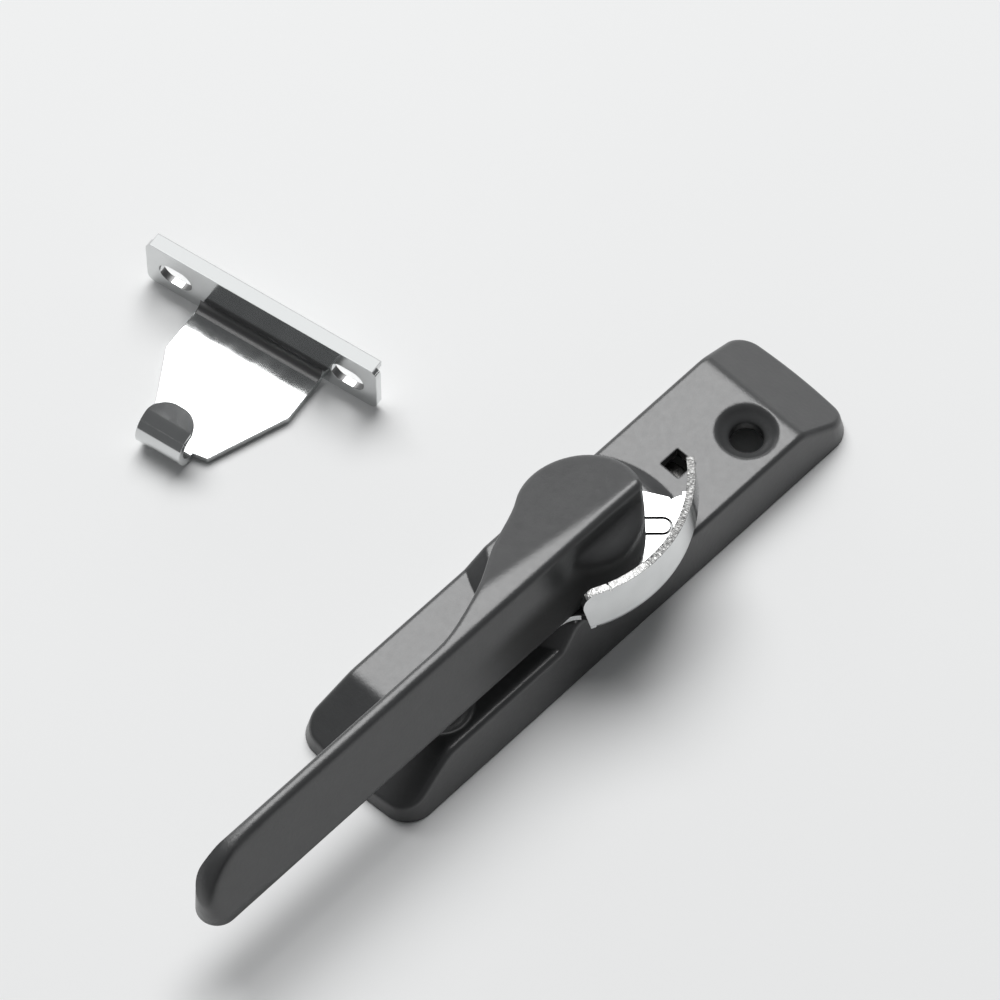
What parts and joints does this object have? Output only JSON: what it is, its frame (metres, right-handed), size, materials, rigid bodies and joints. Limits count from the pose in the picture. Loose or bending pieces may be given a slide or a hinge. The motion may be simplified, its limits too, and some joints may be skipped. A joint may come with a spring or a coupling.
{
  "type": "crescent window lock",
  "caption": "Surface-mounted crescent lock for sliding sashes: a lever turns a hooked crescent cam on a slim base, with a separate bent sheet keeper.",
  "frame": {"origin": "on the axis that the handle turns about, in the plane of the base's open back", "axes": "+Y along the base towards the end with the window, +X towards the side where the crescent stands when the lock is open, +Z away from the sash"},
  "size_m": [0.0982, 0.1305, 0.024],
  "materials": {
    "grey_paint": "satin baked paint, dark warm grey",
    "bright_plate": "bright chrome plate with rough sheared edges",
    "plain_steel": "zinc plated, satin",
    "spring_steel": "cold rolled, bright",
    "nylon": "natural white moulding"
  },
  "bodies": {
    "base": {"base_case": "grey_paint", "pivot_bush": "nylon", "friction_washer": "nylon", "detent_spring": "spring_steel", "spring_rivets": "plain_steel", "keeper": "bright_plate"},
    "lever": {"handle": "grey_paint", "crescent_cam": "bright_plate", "spindle": "plain_steel", "detent_plate": "plain_steel", "spindle_washer": "plain_steel"}
  },
  "joints": [
    {"name": "handle_turn", "type": "hinge", "parent": "base", "child": "lever", "pos_m": [0, 0, 0], "axis": [0, 0, 1], "range_deg": [0, 180]}
  ]
}
